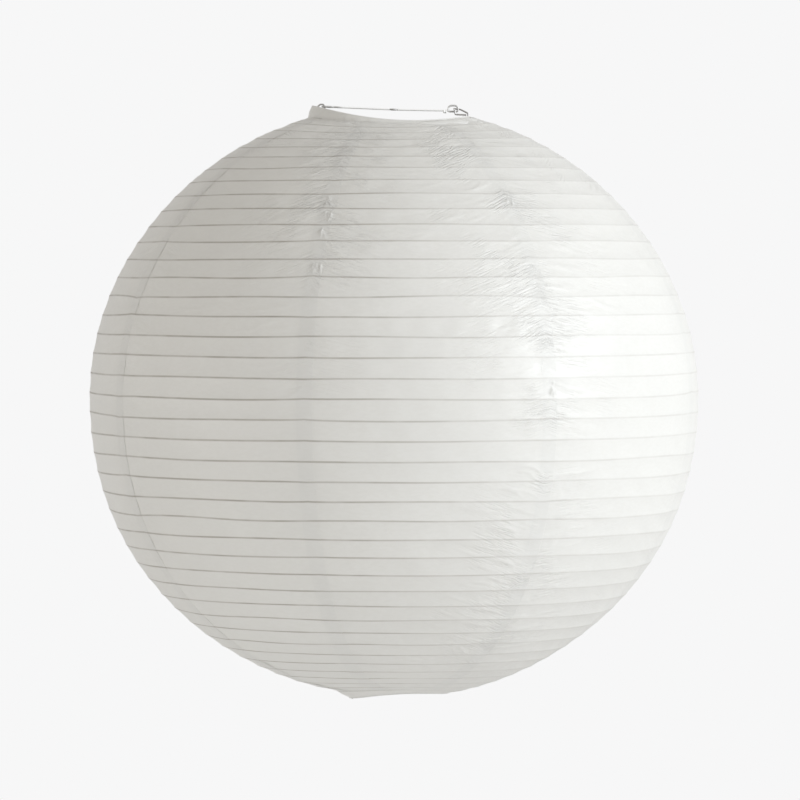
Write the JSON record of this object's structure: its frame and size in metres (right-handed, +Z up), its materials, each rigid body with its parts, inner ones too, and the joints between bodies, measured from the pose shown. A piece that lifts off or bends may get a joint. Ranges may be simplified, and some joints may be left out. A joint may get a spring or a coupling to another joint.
{
  "type": "paper lantern",
  "caption": "Round paper lantern: thin paper gores over wire ribs, held open by a wire expander with a hanging eye; squeezing its legs in lets the shade fold flat.",
  "frame": {"origin": "centre of the hanging eye at the middle of the crossbar, on the shade's axis", "axes": "+Z up along the shade's axis; +X along the crossbar, from its flat loop to its upright loop"},
  "size_m": [0.602, 0.602, 0.5891],
  "materials": {
    "paper": "matte",
    "rib_wire": "satin",
    "hoop_wire": "satin",
    "expander_wire": "satin"
  },
  "bodies": {
    "expander_bar_and_top": {"crossbar": "expander_wire", "top_hoop": "hoop_wire", "rib_01": "rib_wire", "paper_gore_1": "paper", "paper_gore_2": "paper", "paper_gore_3": "paper", "paper_gore_4": "paper", "paper_gore_5": "paper", "paper_gore_6": "paper", "paper_gore_7": "paper", "paper_gore_8": "paper"},
    "left_leg": {"left_leg": "expander_wire"},
    "right_leg": {"right_leg": "expander_wire"},
    "bottom_mouth": {"bottom_hoop": "hoop_wire", "rib_41": "rib_wire"},
    "rib_02_body": {"rib_02": "rib_wire"},
    "rib_03_body": {"rib_03": "rib_wire"},
    "rib_04_body": {"rib_04": "rib_wire"},
    "rib_05_body": {"rib_05": "rib_wire"},
    "rib_06_body": {"rib_06": "rib_wire"},
    "rib_07_body": {"rib_07": "rib_wire"},
    "rib_08_body": {"rib_08": "rib_wire"},
    "rib_09_body": {"rib_09": "rib_wire"},
    "rib_10_body": {"rib_10": "rib_wire"},
    "rib_11_body": {"rib_11": "rib_wire"},
    "rib_12_body": {"rib_12": "rib_wire"},
    "rib_13_body": {"rib_13": "rib_wire"},
    "rib_14_body": {"rib_14": "rib_wire"},
    "rib_15_body": {"rib_15": "rib_wire"},
    "rib_16_body": {"rib_16": "rib_wire"},
    "rib_17_body": {"rib_17": "rib_wire"},
    "rib_18_body": {"rib_18": "rib_wire"},
    "rib_19_body": {"rib_19": "rib_wire"},
    "rib_20_body": {"rib_20": "rib_wire"},
    "rib_21_body": {"rib_21": "rib_wire"},
    "rib_22_body": {"rib_22": "rib_wire"},
    "rib_23_body": {"rib_23": "rib_wire"},
    "rib_24_body": {"rib_24": "rib_wire"},
    "rib_25_body": {"rib_25": "rib_wire"},
    "rib_26_body": {"rib_26": "rib_wire"},
    "rib_27_body": {"rib_27": "rib_wire"},
    "rib_28_body": {"rib_28": "rib_wire"},
    "rib_29_body": {"rib_29": "rib_wire"},
    "rib_30_body": {"rib_30": "rib_wire"},
    "rib_31_body": {"rib_31": "rib_wire"},
    "rib_32_body": {"rib_32": "rib_wire"},
    "rib_33_body": {"rib_33": "rib_wire"},
    "rib_34_body": {"rib_34": "rib_wire"},
    "rib_35_body": {"rib_35": "rib_wire"},
    "rib_36_body": {"rib_36": "rib_wire"},
    "rib_37_body": {"rib_37": "rib_wire"},
    "rib_38_body": {"rib_38": "rib_wire"},
    "rib_39_body": {"rib_39": "rib_wire"},
    "rib_40_body": {"rib_40": "rib_wire"}
  },
  "joints": [
    {"name": "collapse", "type": "slide", "parent": "expander_bar_and_top", "child": "bottom_mouth", "axis": [0, 0, 1], "range_m": [0, 0.5268], "deforming": ["paper_gore_1", "paper_gore_2", "paper_gore_3", "paper_gore_4", "paper_gore_5", "paper_gore_6", "paper_gore_7", "paper_gore_8"]},
    {"name": "rib_02_rise", "type": "slide", "parent": "expander_bar_and_top", "child": "rib_02_body", "axis": [0, 0, 1], "range_m": [0, 0.00568]},
    {"name": "rib_03_rise", "type": "slide", "parent": "expander_bar_and_top", "child": "rib_03_body", "axis": [0, 0, 1], "range_m": [0, 0.01238]},
    {"name": "rib_04_rise", "type": "slide", "parent": "expander_bar_and_top", "child": "rib_04_body", "axis": [0, 0, 1], "range_m": [0, 0.02014]},
    {"name": "rib_05_rise", "type": "slide", "parent": "expander_bar_and_top", "child": "rib_05_body", "axis": [0, 0, 1], "range_m": [0, 0.02893]},
    {"name": "rib_06_rise", "type": "slide", "parent": "expander_bar_and_top", "child": "rib_06_body", "axis": [0, 0, 1], "range_m": [0, 0.0387]},
    {"name": "rib_07_rise", "type": "slide", "parent": "expander_bar_and_top", "child": "rib_07_body", "axis": [0, 0, 1], "range_m": [0, 0.0494]},
    {"name": "rib_08_rise", "type": "slide", "parent": "expander_bar_and_top", "child": "rib_08_body", "axis": [0, 0, 1], "range_m": [0, 0.061]},
    {"name": "rib_09_rise", "type": "slide", "parent": "expander_bar_and_top", "child": "rib_09_body", "axis": [0, 0, 1], "range_m": [0, 0.07355]},
    {"name": "rib_10_rise", "type": "slide", "parent": "expander_bar_and_top", "child": "rib_10_body", "axis": [0, 0, 1], "range_m": [0, 0.08676]},
    {"name": "rib_11_rise", "type": "slide", "parent": "expander_bar_and_top", "child": "rib_11_body", "axis": [0, 0, 1], "range_m": [0, 0.10098]},
    {"name": "rib_12_rise", "type": "slide", "parent": "expander_bar_and_top", "child": "rib_12_body", "axis": [0, 0, 1], "range_m": [0, 0.11571]},
    {"name": "rib_13_rise", "type": "slide", "parent": "expander_bar_and_top", "child": "rib_13_body", "axis": [0, 0, 1], "range_m": [0, 0.13134]},
    {"name": "rib_14_rise", "type": "slide", "parent": "expander_bar_and_top", "child": "rib_14_body", "axis": [0, 0, 1], "range_m": [0, 0.14734]},
    {"name": "rib_15_rise", "type": "slide", "parent": "expander_bar_and_top", "child": "rib_15_body", "axis": [0, 0, 1], "range_m": [0, 0.1641]},
    {"name": "rib_16_rise", "type": "slide", "parent": "expander_bar_and_top", "child": "rib_16_body", "axis": [0, 0, 1], "range_m": [0, 0.18122]},
    {"name": "rib_17_rise", "type": "slide", "parent": "expander_bar_and_top", "child": "rib_17_body", "axis": [0, 0, 1], "range_m": [0, 0.19877]},
    {"name": "rib_18_rise", "type": "slide", "parent": "expander_bar_and_top", "child": "rib_18_body", "axis": [0, 0, 1], "range_m": [0, 0.21662]},
    {"name": "rib_19_rise", "type": "slide", "parent": "expander_bar_and_top", "child": "rib_19_body", "axis": [0, 0, 1], "range_m": [0, 0.2348]},
    {"name": "rib_20_rise", "type": "slide", "parent": "expander_bar_and_top", "child": "rib_20_body", "axis": [0, 0, 1], "range_m": [0, 0.25298]},
    {"name": "rib_21_rise", "type": "slide", "parent": "expander_bar_and_top", "child": "rib_21_body", "axis": [0, 0, 1], "range_m": [0, 0.27121]},
    {"name": "rib_22_rise", "type": "slide", "parent": "expander_bar_and_top", "child": "rib_22_body", "axis": [0, 0, 1], "range_m": [0, 0.28946]},
    {"name": "rib_23_rise", "type": "slide", "parent": "expander_bar_and_top", "child": "rib_23_body", "axis": [0, 0, 1], "range_m": [0, 0.30774]},
    {"name": "rib_24_rise", "type": "slide", "parent": "expander_bar_and_top", "child": "rib_24_body", "axis": [0, 0, 1], "range_m": [0, 0.32551]},
    {"name": "rib_25_rise", "type": "slide", "parent": "expander_bar_and_top", "child": "rib_25_body", "axis": [0, 0, 1], "range_m": [0, 0.3432]},
    {"name": "rib_26_rise", "type": "slide", "parent": "expander_bar_and_top", "child": "rib_26_body", "axis": [0, 0, 1], "range_m": [0, 0.36045]},
    {"name": "rib_27_rise", "type": "slide", "parent": "expander_bar_and_top", "child": "rib_27_body", "axis": [0, 0, 1], "range_m": [0, 0.37739]},
    {"name": "rib_28_rise", "type": "slide", "parent": "expander_bar_and_top", "child": "rib_28_body", "axis": [0, 0, 1], "range_m": [0, 0.3935]},
    {"name": "rib_29_rise", "type": "slide", "parent": "expander_bar_and_top", "child": "rib_29_body", "axis": [0, 0, 1], "range_m": [0, 0.40921]},
    {"name": "rib_30_rise", "type": "slide", "parent": "expander_bar_and_top", "child": "rib_30_body", "axis": [0, 0, 1], "range_m": [0, 0.42402]},
    {"name": "rib_31_rise", "type": "slide", "parent": "expander_bar_and_top", "child": "rib_31_body", "axis": [0, 0, 1], "range_m": [0, 0.43817]},
    {"name": "rib_32_rise", "type": "slide", "parent": "expander_bar_and_top", "child": "rib_32_body", "axis": [0, 0, 1], "range_m": [0, 0.45136]},
    {"name": "rib_33_rise", "type": "slide", "parent": "expander_bar_and_top", "child": "rib_33_body", "axis": [0, 0, 1], "range_m": [0, 0.46368]},
    {"name": "rib_34_rise", "type": "slide", "parent": "expander_bar_and_top", "child": "rib_34_body", "axis": [0, 0, 1], "range_m": [0, 0.4751]},
    {"name": "rib_35_rise", "type": "slide", "parent": "expander_bar_and_top", "child": "rib_35_body", "axis": [0, 0, 1], "range_m": [0, 0.48557]},
    {"name": "rib_36_rise", "type": "slide", "parent": "expander_bar_and_top", "child": "rib_36_body", "axis": [0, 0, 1], "range_m": [0, 0.49499]},
    {"name": "rib_37_rise", "type": "slide", "parent": "expander_bar_and_top", "child": "rib_37_body", "axis": [0, 0, 1], "range_m": [0, 0.50341]},
    {"name": "rib_38_rise", "type": "slide", "parent": "expander_bar_and_top", "child": "rib_38_body", "axis": [0, 0, 1], "range_m": [0, 0.51083]},
    {"name": "rib_39_rise", "type": "slide", "parent": "expander_bar_and_top", "child": "rib_39_body", "axis": [0, 0, 1], "range_m": [0, 0.51721]},
    {"name": "rib_40_rise", "type": "slide", "parent": "expander_bar_and_top", "child": "rib_40_body", "axis": [0, 0, 1], "range_m": [0, 0.52258]},
    {"name": "left_squeeze", "type": "hinge", "parent": "expander_bar_and_top", "child": "left_leg", "pos_m": [-0.0706, 0, 0.00289], "axis": [0, -1, 0], "range_deg": [0, 3], "stiffness_Nm_per_rad": 0.4, "springref_deg": -2.86},
    {"name": "right_squeeze", "type": "hinge", "parent": "expander_bar_and_top", "child": "right_leg", "pos_m": [0.0595, 0, 0.0008], "axis": [0, 1, 0], "range_deg": [0, 3], "stiffness_Nm_per_rad": 0.4, "springref_deg": -2.86}
  ],
  "couplings": [
    {"joint": "rib_02_rise", "follows": "collapse", "ratio": 0.010753},
    {"joint": "rib_03_rise", "follows": "collapse", "ratio": 0.023478},
    {"joint": "rib_04_rise", "follows": "collapse", "ratio": 0.038214},
    {"joint": "rib_05_rise", "follows": "collapse", "ratio": 0.054892},
    {"joint": "rib_06_rise", "follows": "collapse", "ratio": 0.073435},
    {"joint": "rib_07_rise", "follows": "collapse", "ratio": 0.093758},
    {"joint": "rib_08_rise", "follows": "collapse", "ratio": 0.11577},
    {"joint": "rib_09_rise", "follows": "collapse", "ratio": 0.1396},
    {"joint": "rib_10_rise", "follows": "collapse", "ratio": 0.16468},
    {"joint": "rib_11_rise", "follows": "collapse", "ratio": 0.19166},
    {"joint": "rib_12_rise", "follows": "collapse", "ratio": 0.21963},
    {"joint": "rib_13_rise", "follows": "collapse", "ratio": 0.2493},
    {"joint": "rib_14_rise", "follows": "collapse", "ratio": 0.27967},
    {"joint": "rib_15_rise", "follows": "collapse", "ratio": 0.31149},
    {"joint": "rib_16_rise", "follows": "collapse", "ratio": 0.34399},
    {"joint": "rib_17_rise", "follows": "collapse", "ratio": 0.37729},
    {"joint": "rib_18_rise", "follows": "collapse", "ratio": 0.41118},
    {"joint": "rib_19_rise", "follows": "collapse", "ratio": 0.4457},
    {"joint": "rib_20_rise", "follows": "collapse", "ratio": 0.48021},
    {"joint": "rib_21_rise", "follows": "collapse", "ratio": 0.51481},
    {"joint": "rib_22_rise", "follows": "collapse", "ratio": 0.54945},
    {"joint": "rib_23_rise", "follows": "collapse", "ratio": 0.58415},
    {"joint": "rib_24_rise", "follows": "collapse", "ratio": 0.61788},
    {"joint": "rib_25_rise", "follows": "collapse", "ratio": 0.65146},
    {"joint": "rib_26_rise", "follows": "collapse", "ratio": 0.6842},
    {"joint": "rib_27_rise", "follows": "collapse", "ratio": 0.71636},
    {"joint": "rib_28_rise", "follows": "collapse", "ratio": 0.74694},
    {"joint": "rib_29_rise", "follows": "collapse", "ratio": 0.77676},
    {"joint": "rib_30_rise", "follows": "collapse", "ratio": 0.80487},
    {"joint": "rib_31_rise", "follows": "collapse", "ratio": 0.83174},
    {"joint": "rib_32_rise", "follows": "collapse", "ratio": 0.85677},
    {"joint": "rib_33_rise", "follows": "collapse", "ratio": 0.88016},
    {"joint": "rib_34_rise", "follows": "collapse", "ratio": 0.90183},
    {"joint": "rib_35_rise", "follows": "collapse", "ratio": 0.92172},
    {"joint": "rib_36_rise", "follows": "collapse", "ratio": 0.93959},
    {"joint": "rib_37_rise", "follows": "collapse", "ratio": 0.95559},
    {"joint": "rib_38_rise", "follows": "collapse", "ratio": 0.96967},
    {"joint": "rib_39_rise", "follows": "collapse", "ratio": 0.98177},
    {"joint": "rib_40_rise", "follows": "collapse", "ratio": 0.99196}
  ]
}
